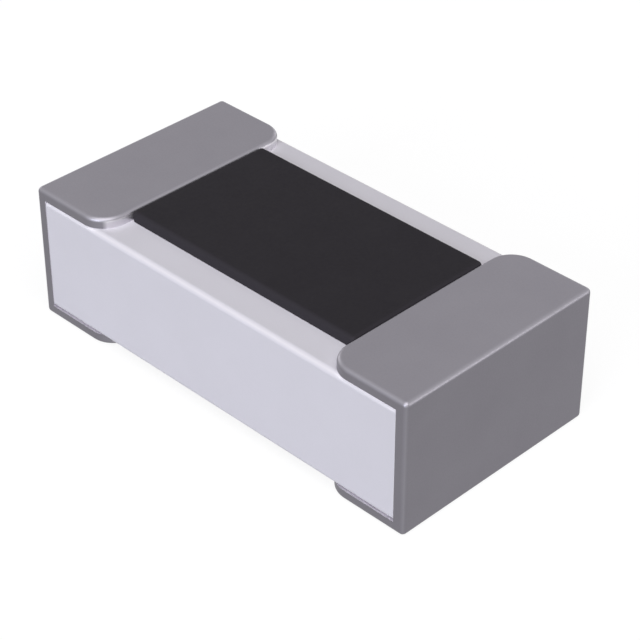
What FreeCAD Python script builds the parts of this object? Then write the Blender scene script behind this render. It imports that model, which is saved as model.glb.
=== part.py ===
# Thick-film chip resistor, 1.60 x 0.80 mm, with wrap-around terminations.
#
# Millimetres. X runs along the chip, Y across it and Z up. The origin is at the middle of the
# chip, half its height above the plane of the solder pads. "right" is +X and "left" is -X, and
# every left piece is the mirror image of its right one.
#
# The chip is built in the order it is made in: ceramic, printed electrodes, resistive film,
# glass, trim cut, black overcoat, end electrodes, nickel and tin. Each layer is cut by what lies
# beneath it, so the layers meet face to face whatever their thicknesses are.

import FreeCAD, Part
import os
import Sketcher

# Driving dimensions: name, value in mm, meaning
SIZES = (
    ("ceramic_length", 1.52, "ceramic chip, along X"),
    ("ceramic_width", 0.80, "ceramic chip, along Y"),
    ("ceramic_height", 0.403, "ceramic chip, along Z"),
    ("ceramic_edge_radius", 0.019, "long edges of the ceramic"),
    ("ceramic_end_radius", 0.003, "edges of the ceramic's two end faces, snapped and nearly sharp"),
    ("top_electrode_thickness", 0.012, "printed pad and tongue on the top face"),
    ("bottom_electrode_thickness", 0.012, "printed pad on the underside"),
    ("end_electrode_thickness", 0.015, "layer on the end face"),
    ("nickel_thickness", 0.010, "barrier plating"),
    ("tin_thickness", 0.015, "outer plating"),
    ("top_flap_length", 0.32, "termination on the top face, from the end face"),
    ("bottom_flap_length", 0.327, "termination on the underside, from the end face"),
    ("flap_corner_radius", 0.09, "inboard corners of the flaps, in plan"),
    ("flap_edge_radius", 0.016, "outer edges of the terminations"),
    ("tongue_length", 0.08, "electrode inboard of the flap, under the coat"),
    ("tongue_width", 0.50, "electrode under the coat, along Y"),
    ("resistor_thickness", 0.010, "resistive film"),
    ("resistor_width", 0.40, "resistive film, along Y"),
    ("resistor_end_gap", 0.025, "from the flap to the end of the film"),
    ("glass_thickness", 0.006, "first coat, on top of the film"),
    ("glass_margin", 0.012, "first coat beyond the film, on every side"),
    ("trim_kerf", 0.028, "width of the laser cut"),
    ("trim_place", 0.13, "from the middle of the chip to the first leg"),
    ("trim_depth", 0.24, "first leg, into the film from its front edge"),
    ("trim_run", 0.20, "second leg, along the film"),
    ("overcoat_width", 0.56, "black coat, along Y"),
    ("overcoat_cover", 0.009, "black coat above the highest glass"),
    ("overcoat_edge_radius", 0.016, "upper edges of the black coat, along its front and back"),
)

# Places that several pieces share, worked out from the driving dimensions
BOTTOM_STACK = (
    "(Sizes.bottom_electrode_thickness + Sizes.nickel_thickness + Sizes.tin_thickness)"
)
TOP_STACK = "(Sizes.top_electrode_thickness + Sizes.nickel_thickness + Sizes.tin_thickness)"
END_STACK = "(Sizes.end_electrode_thickness + Sizes.nickel_thickness + Sizes.tin_thickness)"
PLATING = "(Sizes.nickel_thickness + Sizes.tin_thickness)"
CERAMIC_END = "(Sizes.ceramic_length / 2)"
PAD_PLANE = f"(-({BOTTOM_STACK} + Sizes.ceramic_height + {TOP_STACK}) / 2)"
CERAMIC_BOTTOM = f"({PAD_PLANE} + {BOTTOM_STACK})"
CERAMIC_TOP = f"({CERAMIC_BOTTOM} + Sizes.ceramic_height)"
OUTER_END = f"({CERAMIC_END} + {END_STACK})"
TOP_FLAP_WALL = f"({OUTER_END} - Sizes.top_flap_length)"
BOTTOM_FLAP_WALL = f"({OUTER_END} - Sizes.bottom_flap_length)"
FLAT_END = f"({CERAMIC_END} - Sizes.ceramic_end_radius)"
PAD_WIDTH = f"(Sizes.ceramic_width - 2 * {PLATING})"
PAD_CORNER = f"(Sizes.flap_corner_radius - {PLATING})"
TONGUE_END = f"({TOP_FLAP_WALL} - Sizes.tongue_length)"
RESISTOR_END = f"({TOP_FLAP_WALL} - Sizes.resistor_end_gap)"
TONGUE_TOP = f"({CERAMIC_TOP} + Sizes.top_electrode_thickness)"
ELECTRODE_FOOT = f"({PAD_PLANE} + {PLATING})"

# Edges nearer to a plane than this lie on it
TOUCH = 1e-6


def make_sheet(doc):
    """The spreadsheet of driving dimensions, one named cell each."""
    sheet = doc.addObject("Spreadsheet::Sheet", "Sizes")
    for row, (name, value, meaning) in enumerate(SIZES, start=1):
        sheet.set(f"A{row}", name)
        sheet.set(f"B{row}", str(value))
        sheet.set(f"C{row}", meaning)
        sheet.setAlias(f"B{row}", name)
    doc.recompute()


def origin_plane(body, role):
    """One of the body's own base planes."""
    return next(plane for plane in body.Origin.OriginFeatures if plane.Role == role)


def value_of(doc, expression):
    """What an expression of named sizes comes to, for a first drawing of a sketch."""
    return doc.getObject("Sizes").evalExpression(expression)


def sketch_outline(doc, body, role, corners, height="0"):
    """A closed outline of straight sides along the sketch's axes.

    corners are pairs of expressions. Each side runs along one axis, so a corner shares one
    expression with the corner before it, and each side gets one dimension from the origin.
    height lifts the sketch along Z.
    """
    sketch = body.newObject("Sketcher::SketchObject", body.Name + "_outline")
    sketch.AttachmentSupport = [(origin_plane(body, role), "")]
    sketch.MapMode = "FlatFace"
    sketch.setExpression("AttachmentOffset.Base.z", height)
    points = [
        FreeCAD.Vector(value_of(doc, across), value_of(doc, up), 0) for across, up in corners
    ]
    count = len(corners)
    for side in range(count):
        line = Part.LineSegment(points[side], points[(side + 1) % count])
        sketch.addGeometry(line, False)
    for side in range(count):
        following = (side + 1) % count
        sketch.addConstraint(Sketcher.Constraint("Coincident", side, 2, following, 1))
    for side, (across, up) in enumerate(corners):
        upright = corners[(side + 1) % count][0] == across
        sketch.addConstraint(Sketcher.Constraint("Vertical" if upright else "Horizontal", side))
        kind = "DistanceX" if upright else "DistanceY"
        start = points[side].x if upright else points[side].y
        place = sketch.addConstraint(Sketcher.Constraint(kind, -1, 1, side, 1, start))
        sketch.renameConstraint(place, f"side_{side}")
        sketch.setExpression(f"Constraints.side_{side}", across if upright else up)
    return sketch


def pad_outline(body, sketch, length, symmetric=False):
    """A pad of the outline: upwards, or to both sides of its plane."""
    pad = body.newObject("PartDesign::Pad", sketch.Name + "_pad")
    pad.Profile = sketch
    pad.setExpression("Length", length)
    if symmetric:
        pad.SideType = "Symmetric"
    return pad


def round_edges(doc, body, name, radius, wanted):
    """A fillet on the edges of the body's last feature that wanted(box, shape_box) picks."""
    doc.recompute()
    last = body.Tip
    whole = last.Shape.BoundBox
    picked = [
        f"Edge{number}"
        for number, edge in enumerate(last.Shape.Edges, start=1)
        if wanted(edge.BoundBox, whole)
    ]
    fillet = body.newObject("PartDesign::Fillet", name)
    fillet.Base = (last, picked)
    fillet.setExpression("Radius", radius)
    body.Tip = fillet
    doc.recompute()
    return fillet


def is_long(box, whole):
    return box.YLength < TOUCH and box.ZLength < TOUCH


def on_an_end(box, whole):
    return box.XMin > whole.XMax - TOUCH or box.XMax < whole.XMin + TOUCH


def on_top_and_long(box, whole):
    return is_long(box, whole) and box.ZMin > whole.ZMax - TOUCH


def is_upright(box):
    return box.ZLength > TOUCH and box.XLength < TOUCH and box.YLength < TOUCH


def inboard_corner(box, whole):
    return is_upright(box) and box.XMin < whole.XMin + TOUCH


def rectangle(x_low, x_high, width):
    """Corners of a rectangle that is centred on the chip's long axis."""
    half = f"({width} / 2)"
    return [(x_low, f"-{half}"), (x_high, f"-{half}"), (x_high, half), (x_low, half)]


def box_between(doc, name, x_low, x_high, width, z_low, z_high):
    """A plain box that is centred on the chip's long axis."""
    box = doc.addObject("Part::Box", name)
    box.setExpression("Length", f"{x_high} - {x_low}")
    box.setExpression("Width", width)
    box.setExpression("Height", f"{z_high} - {z_low}")
    box.setExpression("Placement.Base.x", x_low)
    box.setExpression("Placement.Base.y", f"-{width} / 2")
    box.setExpression("Placement.Base.z", z_low)
    return box


def cut_by(doc, name, form, beneath):
    """What is left of a form once the pieces that it lies on are taken from it."""
    tool = beneath[0]
    if len(beneath) > 1:
        tool = doc.addObject("Part::MultiFuse", name + "_beneath")
        tool.Shapes = beneath
    cut = doc.addObject("Part::Cut", name)
    cut.Base = form
    cut.Tool = tool
    return cut


def mirror_to_left(doc, name, right):
    left = doc.addObject("Part::Mirroring", name)
    left.Source = right
    left.Base = FreeCAD.Vector(0, 0, 0)
    left.Normal = FreeCAD.Vector(1, 0, 0)
    return left


def make_ceramic(doc):
    """The alumina chip: a block with round long edges and nearly sharp ends."""
    body = doc.addObject("PartDesign::Body", "ceramic_substrate")
    corners = rectangle(f"-{CERAMIC_END}", CERAMIC_END, "Sizes.ceramic_width")
    sketch = sketch_outline(doc, body, "XY_Plane", corners, CERAMIC_BOTTOM)
    pad_outline(body, sketch, "Sizes.ceramic_height")
    round_edges(doc, body, "long_edges", "Sizes.ceramic_edge_radius", is_long)
    round_edges(doc, body, "end_edges", "Sizes.ceramic_end_radius", on_an_end)
    return body


def make_top_electrode(doc):
    """The printed pad, with a narrower tongue that runs in under the black coat."""
    body = doc.addObject("PartDesign::Body", "top_electrode_right")
    wall = f"({TOP_FLAP_WALL} + {PLATING})"
    pad_sketch = sketch_outline(
        doc, body, "XY_Plane", rectangle(wall, FLAT_END, PAD_WIDTH), CERAMIC_TOP
    )
    pad_outline(body, pad_sketch, "Sizes.top_electrode_thickness")
    round_edges(doc, body, "top_pad_corners", PAD_CORNER, inboard_corner)
    tongue = rectangle(TONGUE_END, FLAT_END, "Sizes.tongue_width")
    tongue_sketch = sketch_outline(doc, body, "XY_Plane", tongue, CERAMIC_TOP)
    pad_outline(body, tongue_sketch, "Sizes.top_electrode_thickness")
    return body


def make_bottom_electrode(doc):
    """The printed pad on the underside, round at its inboard corners."""
    body = doc.addObject("PartDesign::Body", "bottom_electrode_right")
    wall = f"({BOTTOM_FLAP_WALL} + {PLATING})"
    sketch = sketch_outline(
        doc, body, "XY_Plane", rectangle(wall, FLAT_END, PAD_WIDTH), ELECTRODE_FOOT
    )
    pad_outline(body, sketch, "Sizes.bottom_electrode_thickness")
    round_edges(doc, body, "bottom_pad_corners", PAD_CORNER, inboard_corner)
    return body


def make_end_electrode(doc, ceramic):
    """The layer on the end face. It fills round the ceramic's edges to both printed pads."""
    form = box_between(
        doc,
        "end_electrode_form",
        FLAT_END,
        f"({CERAMIC_END} + Sizes.end_electrode_thickness)",
        PAD_WIDTH,
        ELECTRODE_FOOT,
        TONGUE_TOP,
    )
    return cut_by(doc, "end_electrode_right", form, [ceramic])


def make_wrap(doc, name, skin, width, corner):
    """A C that wraps the chip's end, with round inboard corners, inside a skin."""
    body = doc.addObject("PartDesign::Body", name)
    foot = f"({PAD_PLANE} + {skin})"
    top = f"({CERAMIC_TOP} + {TOP_STACK} - {skin})"
    end = f"({OUTER_END} - {skin})"
    top_wall = f"({TOP_FLAP_WALL} + {skin})"
    bottom_wall = f"({BOTTOM_FLAP_WALL} + {skin})"
    corners = [
        (bottom_wall, foot),
        (end, foot),
        (end, top),
        (top_wall, top),
        (top_wall, CERAMIC_TOP),
        (CERAMIC_END, CERAMIC_TOP),
        (CERAMIC_END, CERAMIC_BOTTOM),
        (bottom_wall, CERAMIC_BOTTOM),
    ]
    sketch = sketch_outline(doc, body, "XZ_Plane", corners)
    pad_outline(body, sketch, width, symmetric=True)
    chip_end = value_of(doc, CERAMIC_END)

    def flap_corner(box, whole):
        return is_upright(box) and box.XMax < chip_end - TOUCH

    round_edges(doc, body, name + "_corners", corner, flap_corner)
    return body


def make_nickel(doc, electrodes):
    """The barrier plating, over all three electrodes. Its form is also what the tin covers."""
    form = make_wrap(
        doc,
        "nickel_form",
        "Sizes.tin_thickness",
        "Sizes.ceramic_width - 2 * Sizes.tin_thickness",
        "Sizes.flap_corner_radius - Sizes.tin_thickness",
    )
    return form, cut_by(doc, "nickel_barrier_right", form, electrodes)


def make_tin(doc, nickel_form, top_electrode):
    """The outer plating: the whole skin of the termination, flush with the ceramic's sides."""
    form = make_wrap(doc, "tin_form", "0", "Sizes.ceramic_width", "Sizes.flap_corner_radius")

    def outer(box, whole):
        """The rims of the top, bottom and end faces, and the two upright corners at the end."""
        on_top = box.ZMin > whole.ZMax - TOUCH
        on_bottom = box.ZMax < whole.ZMin + TOUCH
        at_end = box.XMin > whole.XMax - TOUCH
        return on_top or on_bottom or at_end

    round_edges(doc, form, "tin_edges", "Sizes.flap_edge_radius", outer)
    return cut_by(doc, "tin_plating_right", form, [nickel_form, top_electrode])


def make_trim_cut(doc):
    """The L-shaped path of the laser: in from the front edge, then along the film."""
    above = f"({TONGUE_TOP} + Sizes.resistor_thickness + Sizes.glass_thickness)"
    film_edge = "(Sizes.resistor_width / 2 + Sizes.glass_margin)"
    turn = "(Sizes.trim_depth - Sizes.resistor_width / 2)"
    first = box_between(
        doc,
        "trim_first_leg",
        "-Sizes.trim_place",
        "(Sizes.trim_kerf - Sizes.trim_place)",
        f"({turn} + {film_edge})",
        CERAMIC_TOP,
        above,
    )
    first.setExpression("Placement.Base.y", f"-{film_edge}")
    second = box_between(
        doc,
        "trim_second_leg",
        "-Sizes.trim_place",
        "(Sizes.trim_run - Sizes.trim_place)",
        "Sizes.trim_kerf",
        CERAMIC_TOP,
        above,
    )
    second.setExpression("Placement.Base.y", f"{turn} - Sizes.trim_kerf")
    path = doc.addObject("Part::MultiFuse", "trim_path")
    path.Shapes = [first, second]
    return path


def make_resistor(doc, trim_path):
    """The resistive film: level on the ceramic, stepping up onto the tongue at each end."""
    body = doc.addObject("PartDesign::Body", "resistor_form")
    low = f"({CERAMIC_TOP} + Sizes.resistor_thickness)"
    high = f"({TONGUE_TOP} + Sizes.resistor_thickness)"
    step = f"({TONGUE_END} - Sizes.resistor_thickness)"
    corners = [
        (f"-{TONGUE_END}", CERAMIC_TOP),
        (TONGUE_END, CERAMIC_TOP),
        (TONGUE_END, TONGUE_TOP),
        (RESISTOR_END, TONGUE_TOP),
        (RESISTOR_END, high),
        (step, high),
        (step, low),
        (f"-{step}", low),
        (f"-{step}", high),
        (f"-{RESISTOR_END}", high),
        (f"-{RESISTOR_END}", TONGUE_TOP),
        (f"-{TONGUE_END}", TONGUE_TOP),
    ]
    sketch = sketch_outline(doc, body, "XZ_Plane", corners)
    pad_outline(body, sketch, "Sizes.resistor_width", symmetric=True)
    return cut_by(doc, "resistive_element", body, [trim_path])


def make_glass(doc, resistor, tongues, trim_path):
    """The first glass, over the top, the ends and the sides of the film."""
    body = doc.addObject("PartDesign::Body", "glass_form")
    end = f"({RESISTOR_END} + Sizes.glass_margin)"
    low = f"({CERAMIC_TOP} + Sizes.resistor_thickness + Sizes.glass_thickness)"
    high = f"({low} + Sizes.top_electrode_thickness)"
    step = f"({TONGUE_END} - Sizes.resistor_thickness - Sizes.glass_thickness)"
    corners = [
        (f"-{end}", CERAMIC_TOP),
        (end, CERAMIC_TOP),
        (end, high),
        (step, high),
        (step, low),
        (f"-{step}", low),
        (f"-{step}", high),
        (f"-{end}", high),
    ]
    sketch = sketch_outline(doc, body, "XZ_Plane", corners)
    width = "Sizes.resistor_width + 2 * Sizes.glass_margin"
    pad_outline(body, sketch, width, symmetric=True)
    return cut_by(doc, "glass_coat", body, [resistor, *tongues, trim_path])


def make_overcoat(doc, beneath):
    """The black coat: a slab from flap to flap, soft-edged, that also fills the trim cut."""
    body = doc.addObject("PartDesign::Body", "overcoat_form")
    corners = rectangle(f"-{TOP_FLAP_WALL}", TOP_FLAP_WALL, "Sizes.overcoat_width")
    sketch = sketch_outline(doc, body, "XY_Plane", corners, CERAMIC_TOP)
    height = (
        "Sizes.top_electrode_thickness + Sizes.resistor_thickness"
        " + Sizes.glass_thickness + Sizes.overcoat_cover"
    )
    pad_outline(body, sketch, height)
    round_edges(doc, body, "coat_edges", "Sizes.overcoat_edge_radius", on_top_and_long)
    return cut_by(doc, "overcoat", body, beneath)


def make_chip(doc):
    """Every piece of the chip, in the order of its making."""
    ceramic = make_ceramic(doc)
    top = make_top_electrode(doc)
    bottom = make_bottom_electrode(doc)
    end = make_end_electrode(doc, ceramic)
    nickel_form, nickel = make_nickel(doc, [top, bottom, end])
    tin = make_tin(doc, nickel_form, top)
    pairs = (top, bottom, end, nickel, tin)
    left = [mirror_to_left(doc, piece.Name.replace("_right", "_left"), piece) for piece in pairs]
    tongues = [top, left[0]]
    trim_path = make_trim_cut(doc)
    resistor = make_resistor(doc, trim_path)
    glass = make_glass(doc, resistor, tongues, trim_path)
    overcoat = make_overcoat(doc, [glass, resistor, *tongues])
    return [ceramic, *pairs, *left, resistor, glass, overcoat]


def check_document(doc, pieces):
    """Stops before anything is written if a feature failed or a piece isn't one sound solid."""
    for item in doc.Objects:
        if {"Invalid", "Error"} & set(item.State):
            raise RuntimeError(f"{item.Name} failed: {item.State}")
    for piece in pieces:
        shape = piece.Shape
        if shape.isNull() or not shape.isValid() or len(shape.Solids) != 1:
            raise RuntimeError(f"{piece.Name} isn't one valid solid")


def main():
    doc = FreeCAD.newDocument("chip_resistor")
    make_sheet(doc)
    pieces = make_chip(doc)
    doc.recompute()
    check_document(doc, pieces)
    os.makedirs("parts", exist_ok=True)
    for piece in pieces:
        piece.Label = piece.Name
        piece.Shape.exportStep(f"parts/{piece.Label}.step")
        print(piece.Label, f"{piece.Shape.Volume:.6g} mm3")


main()
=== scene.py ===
import math

import bmesh
import bpy
from mathutils import Matrix, Vector


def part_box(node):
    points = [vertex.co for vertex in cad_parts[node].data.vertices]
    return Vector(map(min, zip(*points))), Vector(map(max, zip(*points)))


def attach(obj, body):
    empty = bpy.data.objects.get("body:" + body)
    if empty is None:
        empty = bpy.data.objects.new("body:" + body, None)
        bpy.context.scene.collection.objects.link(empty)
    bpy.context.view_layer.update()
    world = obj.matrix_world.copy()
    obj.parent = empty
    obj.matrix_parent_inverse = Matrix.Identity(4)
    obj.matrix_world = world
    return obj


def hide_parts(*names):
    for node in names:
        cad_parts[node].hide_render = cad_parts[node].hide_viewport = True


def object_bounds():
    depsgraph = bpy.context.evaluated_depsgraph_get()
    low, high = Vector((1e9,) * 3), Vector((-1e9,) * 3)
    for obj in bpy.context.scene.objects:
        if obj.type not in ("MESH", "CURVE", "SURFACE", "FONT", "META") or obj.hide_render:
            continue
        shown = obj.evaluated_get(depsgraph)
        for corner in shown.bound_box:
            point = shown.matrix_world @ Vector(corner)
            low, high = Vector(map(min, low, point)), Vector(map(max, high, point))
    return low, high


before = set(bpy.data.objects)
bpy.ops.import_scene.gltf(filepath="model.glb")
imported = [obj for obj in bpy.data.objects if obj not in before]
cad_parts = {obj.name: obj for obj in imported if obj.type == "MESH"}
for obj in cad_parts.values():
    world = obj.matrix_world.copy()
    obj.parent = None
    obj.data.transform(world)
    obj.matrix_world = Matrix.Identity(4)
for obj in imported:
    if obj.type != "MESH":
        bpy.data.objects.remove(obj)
CAD_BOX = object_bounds()

# Meshes are built in millimetres, because bevels and cuts are exact only at sizes near 1, and
# are scaled to metres at the end.
MM = 0.001

# Radii of the real object, in millimetres. Every other size is read from the frame.
EDGE_RADIUS = 0.016
CERAMIC_EDGE_RADIUS = 0.019
CERAMIC_END_RADIUS = 0.003
COAT_END_RADIUS = 0.015
FLAP_CORNER_RADIUS = 0.09
TIN_THICKNESS = 0.015

# Half the width of the electrode that runs out under the coat
TONGUE_HALF_WIDTH = 0.25

# The laser's L-shaped cut through film and glass, in plan. The coat fills it.
TRIM_PATH = [
    (-0.13, -0.26),
    (-0.102, -0.26),
    (-0.102, 0.012),
    (0.07, 0.012),
    (0.07, 0.04),
    (-0.13, 0.04),
]

# Facets along a rounded edge, along the ceramic's nearly sharp ends, and around a flap's corner
EDGE_STEPS = 10
END_STEPS = 3
CORNER_STEPS = 28

# A cutter reaches this far past the face that it opens
PAST = 0.05

# Two coordinates closer than this are the same
TOLERANCE = 1e-5

# Faces that meet at a larger angle than this, in degrees, keep a sharp edge
SHARP_ANGLE = 35

# In the weighting of normals, where 50 is neutral, the largest faces count by far the most
FLAT_FACE_WEIGHT = 100


def node_box(node):
    """A CAD node's lowest and highest corner, in millimetres."""
    low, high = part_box(node)
    return Vector(low) / MM, Vector(high) / MM


def link(name, content):
    """A new object in the scene."""
    piece = bpy.data.objects.new(name, content)
    bpy.context.scene.collection.objects.link(piece)
    return piece


def prism(profile, y_low, y_high):
    """A bmesh of a closed X-Z profile, drawn out along Y."""
    form = bmesh.new()
    front = [form.verts.new((x, y_low, z)) for x, z in profile]
    back = [form.verts.new((x, y_high, z)) for x, z in profile]
    form.faces.new(front)
    form.faces.new(back[::-1])
    for i in range(len(profile)):
        j = (i + 1) % len(profile)
        form.faces.new((front[j], front[i], back[i], back[j]))
    bmesh.ops.recalc_face_normals(form, faces=form.faces)
    return form


def plan_prism(outline, z_low, z_high):
    """A bmesh of a closed X-Y outline, drawn up along Z."""
    form = prism(outline, z_low, z_high)
    for corner in form.verts:
        corner.co = corner.co.xzy
    bmesh.ops.recalc_face_normals(form, faces=form.faces)
    return form


def block(low, high):
    """A bmesh of a plain box."""
    profile = [(low[0], low[2]), (high[0], low[2]), (high[0], high[2]), (low[0], high[2])]
    return prism(profile, low[1], high[1])


def bevel(form, wanted, radius, steps):
    """Rounds the edges that wanted(first corner, second corner) picks."""
    bmesh.ops.bevel(
        form,
        geom=[edge for edge in form.edges if wanted(edge.verts[0].co, edge.verts[1].co)],
        offset=radius,
        offset_type="OFFSET",
        segments=steps,
        profile=0.5,
        affect="EDGES",
        clamp_overlap=False,
    )


def same(a, b):
    return abs(a - b) < TOLERANCE


def is_upright(a, b):
    return same(a.x, b.x) and same(a.y, b.y)


def is_long(a, b):
    return same(a.y, b.y) and same(a.z, b.z)


def to_mesh(form, name):
    mesh = bpy.data.meshes.new(name)
    form.to_mesh(mesh)
    form.free()
    return mesh


def cutter(name, form):
    return link(name, to_mesh(form, name))


def evaluated_mesh(piece):
    """The piece's mesh with its modifiers applied, which are then taken off it."""
    graph = bpy.context.evaluated_depsgraph_get()
    mesh = bpy.data.meshes.new_from_object(piece.evaluated_get(graph))
    piece.modifiers.clear()
    return mesh


def cut(piece, cutters):
    """Takes what lies inside the cutters out of the piece."""
    for tool in cutters:
        modifier = piece.modifiers.new("cut", "BOOLEAN")
        modifier.operation = "DIFFERENCE"
        modifier.solver = "EXACT"
        modifier.object = tool
    piece.data = evaluated_mesh(piece)
    for tool in cutters:
        bpy.data.objects.remove(tool)


def finish_mesh(piece):
    """Flat faces flat, rounded edges smooth, and the whole in metres."""
    piece.data.shade_smooth()
    piece.data.set_sharp_from_angle(angle=math.radians(SHARP_ANGLE))
    weighted = piece.modifiers.new("even_faces", "WEIGHTED_NORMAL")
    weighted.keep_sharp = True
    weighted.weight = FLAT_FACE_WEIGHT
    mesh = evaluated_mesh(piece)
    mesh.name = piece.name
    mesh.transform(Matrix.Scale(MM, 4))
    piece.data = mesh


# The ceramic chip


def make_ceramic():
    low, high = node_box("ceramic_substrate")
    form = block(low, high)
    bevel(form, is_long, CERAMIC_EDGE_RADIUS, EDGE_STEPS)
    bevel(form, lambda a, b: same(a.x, b.x), CERAMIC_END_RADIUS, END_STEPS)
    piece = link("ceramic_chip", to_mesh(form, "ceramic_chip"))
    finish_mesh(piece)
    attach(piece, "root")
    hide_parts("ceramic_substrate")
    return piece


# The terminations


def wrap(side, skin, reach, corner_radius):
    """The C of a termination, inside a skin, with round inboard corners.

    reach carries the C's ceramic side past the ceramic's faces.
    """
    tin_low, tin_high = node_box("tin_plating_right")
    ceramic_low, ceramic_high = node_box("ceramic_substrate")
    bottom_wall = tin_low.x + skin
    top_wall = node_box("overcoat")[1].x + skin
    inner_end = ceramic_high.x - reach
    profile = [
        (bottom_wall, tin_low.z + skin),
        (tin_high.x - skin, tin_low.z + skin),
        (tin_high.x - skin, tin_high.z - skin),
        (top_wall, tin_high.z - skin),
        (top_wall, ceramic_high.z - reach),
        (inner_end, ceramic_high.z - reach),
        (inner_end, ceramic_low.z + reach),
        (bottom_wall, ceramic_low.z + reach),
    ]
    half_width = tin_high.y - skin
    form = prism([(side * x, z) for x, z in profile], -half_width, half_width)
    inboard = (ceramic_high.x + top_wall) / 2
    bevel(
        form,
        lambda a, b: is_upright(a, b) and abs(a.x) < inboard,
        corner_radius,
        CORNER_STEPS,
    )
    return form


def make_termination(name, side):
    low, high = node_box("tin_plating_right")
    form = wrap(side, skin=0, reach=0, corner_radius=FLAP_CORNER_RADIUS)

    def on_rim(a, b):
        """The rims of the top, bottom and end faces, and the two upright corners."""
        on_top = same(a.z, high.z) and same(b.z, high.z)
        on_bottom = same(a.z, low.z) and same(b.z, low.z)
        at_end = same(abs(a.x), high.x) and same(abs(b.x), high.x)
        return on_top or on_bottom or at_end

    bevel(form, on_rim, EDGE_RADIUS, EDGE_STEPS)
    piece = link(f"tin_cap_{name}", to_mesh(form, f"tin_cap_{name}"))

    nickel = wrap(
        side,
        skin=TIN_THICKNESS,
        reach=PAST,
        corner_radius=FLAP_CORNER_RADIUS - TIN_THICKNESS,
    )
    tongue_low, tongue_high = node_box(f"top_electrode_{name}")
    tongue = block(
        (tongue_low.x, -TONGUE_HALF_WIDTH, tongue_low.z - PAST),
        (tongue_high.x, TONGUE_HALF_WIDTH, tongue_high.z),
    )
    cut(piece, [cutter("nickel_cutter", nickel), cutter("tongue_cutter", tongue)])
    finish_mesh(piece)
    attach(piece, "root")
    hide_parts(f"tin_plating_{name}")
    return piece


# The black coat


def tongue_room(side):
    """The room for one electrode's tongue, open towards the flap."""
    low, high = node_box("top_electrode_right")
    wall = node_box("overcoat")[1].x + PAST
    start, end = sorted((side * low.x, side * wall))
    form = block((start, -TONGUE_HALF_WIDTH, low.z - PAST), (end, TONGUE_HALF_WIDTH, high.z))
    return cutter("tongue_cutter", form)


def glass_room():
    """The room for the film and its glass, which step up onto both tongues."""
    low, high = node_box("glass_coat")
    tongue_low, tongue_high = node_box("top_electrode_right")
    foot = low.z - PAST
    middle_top = high.z - (tongue_high.z - tongue_low.z)
    step = tongue_low.x - (high.z - tongue_high.z)
    profile = [
        (low.x, foot),
        (high.x, foot),
        (high.x, high.z),
        (step, high.z),
        (step, middle_top),
        (-step, middle_top),
        (-step, high.z),
        (low.x, high.z),
    ]
    layers = cutter("glass_cutter", prism(profile, low.y, high.y))
    cut(layers, [cutter("trim_cutter", plan_prism(TRIM_PATH, foot - PAST, high.z + PAST))])
    return layers


def make_coat():
    low, high = node_box("overcoat")
    form = block(low, high)

    def is_top_and_long(a, b):
        return is_long(a, b) and same(a.z, high.z)

    def is_at_end(a, b):
        """The edges around each end, but for the one at the coat's foot."""
        return same(a.x, b.x) and max(a.z, b.z) > low.z

    bevel(form, is_top_and_long, EDGE_RADIUS, EDGE_STEPS)
    bevel(form, is_at_end, COAT_END_RADIUS, EDGE_STEPS)
    piece = link("black_coat", to_mesh(form, "black_coat"))
    cut(piece, [glass_room(), tongue_room(-1), tongue_room(1)])
    finish_mesh(piece)
    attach(piece, "root")
    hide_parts("overcoat")
    return piece


# Building blocks of the materials. A value is a number, a colour or another node's output.


def feed(tree, socket, value):
    """Gives a value to a node's input."""
    if isinstance(value, bpy.types.NodeSocket):
        tree.links.new(value, socket)
    elif socket.type == "RGBA":
        socket.default_value = (*value, 1)
    else:
        socket.default_value = value


def feed_all(tree, node, values):
    """Gives values to a node's inputs, by the inputs' names or places."""
    for place, value in values.items():
        feed(tree, node.inputs[place], value)


def add_node(tree, kind, values=None, operation=None):
    """A new node, with values for its inputs."""
    node = tree.nodes.new(kind)
    if operation:
        node.operation = operation
    feed_all(tree, node, values or {})
    return node


def calculate(tree, operation, *values):
    node = add_node(tree, "ShaderNodeMath", dict(enumerate(values)), operation)
    return node.outputs["Value"]


def part_along(tree, vector, axis):
    """One part of a vector: X, Y or Z."""
    return add_node(tree, "ShaderNodeSeparateXYZ", {"Vector": vector}).outputs[axis]


def position_in_mm(tree):
    """The point on the piece, in millimetres."""
    place = add_node(tree, "ShaderNodeTexCoord").outputs["Object"]
    values = {0: place, "Scale": 1 / MM}
    return add_node(tree, "ShaderNodeVectorMath", values, "SCALE").outputs["Vector"]


def facing(tree):
    """The direction in which the surface looks, on the piece."""
    return add_node(tree, "ShaderNodeTexCoord").outputs["Normal"]


def noise(tree, where, per_mm, detail=4.0, roughness=0.55):
    values = {"Vector": where, "Scale": per_mm, "Detail": detail, "Roughness": roughness}
    return add_node(tree, "ShaderNodeTexNoise", values).outputs["Fac"]


def remap(tree, value, low, high, from_low=0.3, from_high=0.7):
    """A value spread over a range. Left out, from_low and from_high suit a noise."""
    values = {
        "Value": value,
        "From Min": from_low,
        "From Max": from_high,
        "To Min": low,
        "To Max": high,
    }
    return add_node(tree, "ShaderNodeMapRange", values).outputs["Result"]


def fade_in(tree, value, start, full):
    """0 up to start, 1 from full on, and a slope in between."""
    return remap(tree, value, 0.0, 1.0, start, full)


def mix_colours(tree, factor, first, second):
    """The first colour where the factor is 0, the second where it is 1."""
    node = add_node(tree, "ShaderNodeMix")
    node.data_type = "RGBA"
    colours = {socket.name: socket for socket in node.inputs if socket.type == "RGBA"}
    feed(tree, node.inputs["Factor"], factor)
    feed(tree, colours["A"], first)
    feed(tree, colours["B"], second)
    return [socket for socket in node.outputs if socket.type == "RGBA"][0]


def bump(tree, height, micrometres):
    """The surface's direction with a fine relief on it."""
    values = {"Height": height, "Distance": micrometres * 1e-6}
    return add_node(tree, "ShaderNodeBump", values).outputs["Normal"]


def new_material(name):
    material = bpy.data.materials.new(name)
    material.use_nodes = True
    tree = material.node_tree
    return material, tree, tree.nodes["Principled BSDF"]


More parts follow.
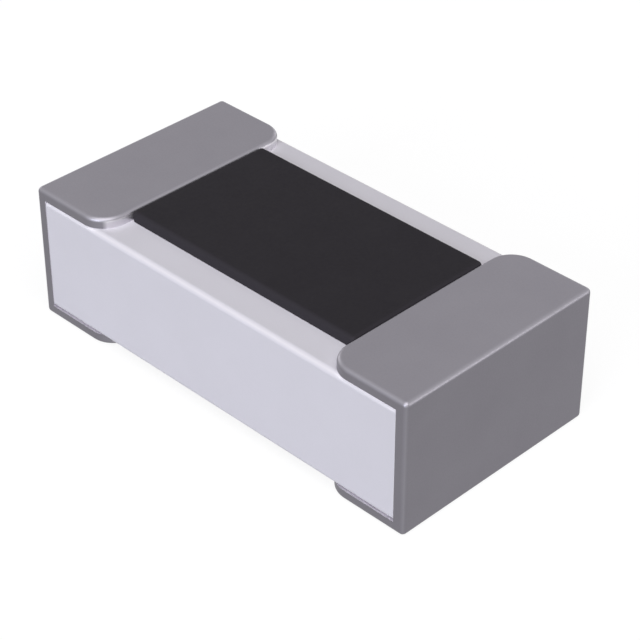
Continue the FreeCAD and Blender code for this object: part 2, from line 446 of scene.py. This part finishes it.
# Places on a piece, each as a value that is 1 there and 0 elsewhere

# Each pair says where a place begins and where it is full. These are parts of the surface's
# direction: towards the nearer end of the chip, level, and upwards on the ceramic's top face and
# on its edge under a flap.
LOOKS_INWARDS = (-0.68, -0.8)
LOOKS_SIDEWAYS = (0.9, 0.98)
LOOKS_UP = (0.97, 0.99)
LOOKS_HALF_UP = (0.25, 0.65)

# These are distances from the coat's end, as shares of the flap's corner radius
UNDER_FLAP = (0.4, 0.7)

# By this margin, in millimetres, the tin's faces on the ceramic count as inside its box
LEDGE_MARGIN = 1e-4


def on_edge(tree):
    """1 along the middle of a rounded edge, 0 on the flat faces.

    The largest part of the surface's direction is 1 on a flat face and smallest half-way round.
    """
    direction = facing(tree)
    sizes = [calculate(tree, "ABSOLUTE", part_along(tree, direction, axis)) for axis in "XYZ"]
    largest = calculate(tree, "MAXIMUM", calculate(tree, "MAXIMUM", *sizes[:2]), sizes[2])
    return remap(tree, largest, 1.0, 0.0, math.sqrt(0.5), 1.0)


def on_upright(tree):
    """1 on an upright face, 0 on a level one."""
    values = {0: facing(tree), 1: (1, 1, 0)}
    sideways = add_node(tree, "ShaderNodeVectorMath", values, "MULTIPLY").outputs["Vector"]
    return add_node(tree, "ShaderNodeVectorMath", {0: sideways}, "LENGTH").outputs["Value"]


def on_inboard_wall(tree, where):
    """1 on the tin's upright faces that look along the chip to its middle."""
    side = calculate(tree, "SIGN", part_along(tree, where, "X"))
    outwards = calculate(tree, "MULTIPLY", side, part_along(tree, facing(tree), "X"))
    inwards = fade_in(tree, outwards, *LOOKS_INWARDS)
    sideways = fade_in(tree, on_upright(tree), *LOOKS_SIDEWAYS)
    return calculate(tree, "MULTIPLY", inwards, sideways)


def on_inner_ledge(tree, where):
    """1 on the tin's faces that look at the ceramic."""
    _, ceramic_high = node_box("ceramic_substrate")
    inside = []
    for axis, limit in (("Z", ceramic_high.z), ("X", ceramic_high.x)):
        size = calculate(tree, "ABSOLUTE", part_along(tree, where, axis))
        inside.append(calculate(tree, "LESS_THAN", size, limit + LEDGE_MARGIN))
    return calculate(tree, "MULTIPLY", *inside)


# Painted light and shade on the ceramic, as shares by which it is paler than its plain colour: on its
# top face, from the coat's foot to the rim, against the coat's shade; besides that a painted shade on
# the back strip; and a painted highlight along its edge under the flaps
STRIP_PAINTED_LIGHT = (0.1, -0.02)
BACK_STRIP_PAINTED_SHADE = -0.05
FLAP_LINE_PAINTED_HIGHLIGHT = 0.2


def ceramic_painted_light(tree, where):
    """The factor by which the ceramic is painted paler or darker, as painted light and shade. The
    change from front to back lies under the coat.
    """
    _, coat_high = node_box("overcoat")
    rim = node_box("ceramic_substrate")[1].y - CERAMIC_EDGE_RADIUS
    across = part_along(tree, where, "Y")
    from_middle = calculate(tree, "ABSOLUTE", across)
    strip = calculate(
        tree,
        "ADD",
        remap(tree, from_middle, *STRIP_PAINTED_LIGHT, coat_high.y, rim),
        remap(tree, across, 0.0, BACK_STRIP_PAINTED_SHADE, -coat_high.y, coat_high.y),
    )
    upwards = part_along(tree, facing(tree), "Z")
    on_top = fade_in(tree, upwards, *LOOKS_UP)
    along = calculate(tree, "ABSOLUTE", part_along(tree, where, "X"))
    start, full = (coat_high.x + share * FLAP_CORNER_RADIUS for share in UNDER_FLAP)
    under_flap = fade_in(tree, along, start, full)
    line = remap(tree, upwards, 0.0, FLAP_LINE_PAINTED_HIGHLIGHT, *LOOKS_HALF_UP)
    gain = calculate(tree, "MULTIPLY_ADD", strip, on_top, 1.0)
    return calculate(tree, "MULTIPLY_ADD", under_flap, line, gain)


# Materials of the outer pieces


def alumina_material():
    """Fired white alumina: fine-grained and matt, with a painted highlight on its rounded edges and
    painted light and shade on its top face.
    """
    material, tree, shader = new_material("alumina")
    where = position_in_mm(tree)
    clouds = remap(tree, noise(tree, where, per_mm=5.0, detail=3.0), 0.0, 1.0)
    grain = noise(tree, where, per_mm=130.0, detail=3.0, roughness=0.6)
    tint = mix_colours(tree, clouds, (0.604, 0.587, 0.629), (0.617, 0.6, 0.644))
    speckled = mix_colours(tree, remap(tree, grain, 0.0, 0.05), tint, (0.5, 0.48, 0.53))
    # The paler colour along the rounded edges is a painted highlight.
    painted_edge_highlight = mix_colours(tree, on_edge(tree), speckled, (0.705, 0.68, 0.71))
    # Painted light and shade: the top face paler at the coat's foot, the back strip darker, the edge
    # under the flaps paler.
    lift = {"Color": painted_edge_highlight, "Value": ceramic_painted_light(tree, where)}
    looks = {
        "Base Color": add_node(tree, "ShaderNodeHueSaturation", lift).outputs["Color"],
        "Roughness": remap(tree, grain, 0.5, 0.62),
        "Specular IOR Level": 0.25,
        "Normal": bump(tree, grain, micrometres=0.12),
    }
    feed_all(tree, shader, looks)
    return material


def tin_material():
    """Matt electroplated tin: smooth grey metal with a very fine crystal grain, with a painted
    highlight on its rounded edges and a painted reflection of the ceramic beside it.
    """
    material, tree, shader = new_material("tin")
    where = position_in_mm(tree)
    clouds = remap(tree, noise(tree, where, per_mm=6.0, detail=3.0), 0.0, 1.0)
    grain = noise(tree, where, per_mm=160.0, detail=2.0)
    tint = mix_colours(tree, clouds, (0.229, 0.2185, 0.2455), (0.239, 0.2285, 0.2555))
    # The paler colour along the rounded edges is a painted highlight.
    painted_edge_highlight = mix_colours(tree, on_edge(tree), tint, (0.285, 0.275, 0.304))
    # Near white on the faces that look at the ceramic: a painted reflection of the ceramic.
    ceramic_reflection_share = calculate(
        tree, "MAXIMUM", on_inner_ledge(tree, where), on_inboard_wall(tree, where)
    )
    looks = {
        "Base Color": mix_colours(tree, ceramic_reflection_share, painted_edge_highlight, (0.72, 0.7, 0.74)),
        "Metallic": 1.0,
        "Roughness": remap(tree, grain, 0.42, 0.5),
        "Normal": bump(tree, grain, micrometres=0.05),
    }
    feed_all(tree, shader, looks)
    return material


def coat_material():
    """The black overcoat: dull and slightly orange-peeled, with painted light that makes its upright
    sides paler.
    """
    material, tree, shader = new_material("black_coat")
    where = position_in_mm(tree)
    clouds = remap(tree, noise(tree, where, per_mm=7.0, detail=3.0), 0.0, 1.0)
    grain = noise(tree, where, per_mm=90.0, detail=3.0)
    tint = mix_colours(tree, clouds, (0.02, 0.018, 0.0213), (0.022, 0.0199, 0.0233))
    looks = {
        # The upright sides are paler: painted light, as the coat's front side is lit more than its
        # top.
        "Base Color": mix_colours(tree, on_upright(tree), tint, (0.034, 0.031, 0.036)),
        "Roughness": remap(tree, grain, 0.5, 0.62),
        "Specular IOR Level": 0.04,
        "Normal": bump(tree, grain, micrometres=0.1),
    }
    feed_all(tree, shader, looks)
    return material


def dress(piece, material):
    piece.data.materials.clear()
    piece.data.materials.append(material)


# The layers that the outer pieces hide. Each material: its two colours, how metallic and how
# rough it is, and its speckles per millimetre.
SEALED_MATERIALS = {
    "fired_silver": ((0.72, 0.7, 0.66), (0.8, 0.79, 0.76), 1.0, 0.45, 60.0),
    "end_metal": ((0.42, 0.41, 0.4), (0.5, 0.49, 0.48), 1.0, 0.5, 60.0),
    "nickel": ((0.6, 0.56, 0.5), (0.68, 0.64, 0.57), 1.0, 0.3, 90.0),
    "resistor_film": ((0.03, 0.03, 0.032), (0.06, 0.06, 0.062), 0.0, 0.6, 80.0),
    "first_glass": ((0.16, 0.2, 0.17), (0.2, 0.25, 0.21), 0.0, 0.2, 30.0),
}

# The material of each layer, by what its nodes' names start with
SEALED_LAYERS = {
    "top_electrode_": "fired_silver",
    "bottom_electrode_": "fired_silver",
    "end_electrode_": "end_metal",
    "nickel_barrier_": "nickel",
    "resistive_element": "resistor_film",
    "glass_coat": "first_glass",
}

# A speckle is this much less or more rough than its material
SEALED_ROUGHNESS_SPREAD = 0.05


def sealed_material(name, first, second, metallic, roughness, per_mm):
    """A mottled colour with a fine grain."""
    material, tree, shader = new_material(name)
    mottle = noise(tree, position_in_mm(tree), per_mm, roughness=0.6)
    smoothest = roughness - SEALED_ROUGHNESS_SPREAD
    roughest = roughness + SEALED_ROUGHNESS_SPREAD
    looks = {
        "Base Color": mix_colours(tree, remap(tree, mottle, 0.0, 1.0), first, second),
        "Metallic": metallic,
        "Roughness": remap(tree, mottle, smoothest, roughest),
        "Normal": bump(tree, mottle, micrometres=0.1),
    }
    feed_all(tree, shader, looks)
    return material


def dress_sealed_layers():
    materials = {name: sealed_material(name, *look) for name, look in SEALED_MATERIALS.items()}
    for start, name in SEALED_LAYERS.items():
        for node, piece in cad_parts.items():
            if node.startswith(start):
                dress(piece, materials[name])


# The floor and the light. Diffuse light comes from a dim even world and the lamps. The camera,
# and reflections in the metal, see the same surroundings as plain white.
WORLD_FOR_DIFFUSE = 0.2
FLOOR_FOR_DIFFUSE = 0.5
FLOOR_SEEN_SHARE = 0.15
FLOOR_SEEN_GLOW = 0.87
FLOOR_IN_METAL = 0.78

# Metres. The floor lies a little below the pads, so that the two never share a plane.
FLOOR_SIZE = 0.4
FLOOR_GAP = 1e-6
LAMP_DISTANCE = 0.08

FULL_WHITE = (1.0, 1.0, 1.0)
NEAR_WHITE = (1.0, 0.99, 1.0)
COOL_WHITE = (0.95, 1.0, 1.12)

# Each soft box: its name, the direction in which it stands, its size in metres, its brightness
# and its colour. The brightness is what a white sheet that faces the lamp shows of it, where 1 is
# full white.
LAMPS = [
    ("top_box", (0.4, -0.38, 0.83), 0.08, 0.85, NEAR_WHITE),
    ("front_box", (0.18, -0.93, 0.33), 0.04, 0.49, COOL_WHITE),
    ("right_box", (0.8, 0.57, 0.18), 0.03, 0.16, NEAR_WHITE),
    ("back_box", (-0.2, 0.96, 0.2), 0.04, 0.11, NEAR_WHITE),
    ("left_box", (-0.96, 0.15, 0.2), 0.04, 0.15, NEAR_WHITE),
]


def seen_directly(tree):
    """1 for rays from the camera, from gloss and through glass, 0 for diffuse light."""
    path = add_node(tree, "ShaderNodeLightPath").outputs
    either = calculate(tree, "MAXIMUM", path["Is Camera Ray"], path["Is Glossy Ray"])
    return calculate(tree, "MAXIMUM", either, path["Is Transmission Ray"])


def mix_shaders(tree, factor, first, second):
    return add_node(tree, "ShaderNodeMixShader", {0: factor, 1: first, 2: second}).outputs["Shader"]


def make_world():
    world = bpy.data.worlds.new("studio")
    world.use_nodes = True
    tree = world.node_tree
    dim = tree.nodes["Background"]
    feed_all(tree, dim, {"Color": NEAR_WHITE, "Strength": WORLD_FOR_DIFFUSE})
    white = add_node(tree, "ShaderNodeBackground", {"Color": FULL_WHITE, "Strength": 1.0})
    mixed = mix_shaders(
        tree, seen_directly(tree), dim.outputs["Background"], white.outputs["Background"]
    )
    feed_all(tree, tree.nodes["World Output"], {"Surface": mixed})
    bpy.context.scene.world = world


def floor_material():
    """A pale floor that keeps shadows: lit in part, and glowing for what sees it directly."""
    material = bpy.data.materials.new("floor")
    material.use_nodes = True
    tree = material.node_tree
    tree.nodes.clear()
    full, part = (
        add_node(tree, "ShaderNodeBsdfDiffuse", {"Color": (share, share, share)}).outputs["BSDF"]
        for share in (FLOOR_FOR_DIFFUSE, FLOOR_SEEN_SHARE)
    )
    in_metal = add_node(tree, "ShaderNodeLightPath").outputs["Is Glossy Ray"]
    metal_glow = FLOOR_SEEN_GLOW - 1 + FLOOR_IN_METAL
    strength = remap(tree, in_metal, FLOOR_SEEN_GLOW, metal_glow, 0.0, 1.0)
    glow = add_node(tree, "ShaderNodeEmission", {"Strength": strength}).outputs["Emission"]
    seen = add_node(tree, "ShaderNodeAddShader", {0: part, 1: glow}).outputs["Shader"]
    mixed = mix_shaders(tree, seen_directly(tree), full, seen)
    add_node(tree, "ShaderNodeOutputMaterial", {"Surface": mixed})
    return material


def make_floor():
    z = CAD_BOX[0][2] - FLOOR_GAP
    half = FLOOR_SIZE / 2
    mesh = bpy.data.meshes.new("floor")
    corners = [(-half, -half, z), (half, -half, z), (half, half, z), (-half, half, z)]
    mesh.from_pydata(corners, [], [(0, 1, 2, 3)])
    floor = link("floor", mesh)
    mesh.materials.append(floor_material())


def make_lamp(name, direction, size, brightness, colour):
    """A square soft box that faces the chip."""
    light = bpy.data.lights.new(name, "AREA")
    light.shape = "SQUARE"
    light.size = size
    light.energy = brightness * (math.pi * LAMP_DISTANCE) ** 2
    light.color = colour
    lamp = link(name, light)
    towards = Vector(direction).normalized()
    lamp.location = towards * LAMP_DISTANCE
    lamp.rotation_euler = towards.to_track_quat("Z", "Y").to_euler()


# The camera, solved from the straight edges of the chip in the photo. Its place is in metres and
# its angles are in radians. The sensor's width is in millimetres, as Blender has it.
CAMERA_PLACE = Vector((3.8555, -3.7903, 3.7443)) * MM
CAMERA_AZIMUTH = 0.7852
CAMERA_ELEVATION = 0.6153
LENS_PIXELS = 2113.92
IMAGE_PIXELS = 640
SENSOR_WIDTH = 36.0


def make_camera():
    data = bpy.data.cameras.new("camera")
    data.sensor_width = SENSOR_WIDTH
    data.lens = LENS_PIXELS / IMAGE_PIXELS * SENSOR_WIDTH
    data.clip_start = 0.01 * MM
    data.clip_end = 1.0
    camera = link("camera", data)
    camera.location = CAMERA_PLACE
    camera.rotation_euler = (math.pi / 2 - CAMERA_ELEVATION, 0.0, CAMERA_AZIMUTH)
    bpy.context.scene.camera = camera


dress(make_ceramic(), alumina_material())
tin = tin_material()
dress(make_termination("left", -1), tin)
dress(make_termination("right", 1), tin)
dress(make_coat(), coat_material())
dress_sealed_layers()

make_world()
make_floor()
for row in LAMPS:
    make_lamp(*row)
make_camera()
bpy.context.scene.view_settings.view_transform = "Standard"
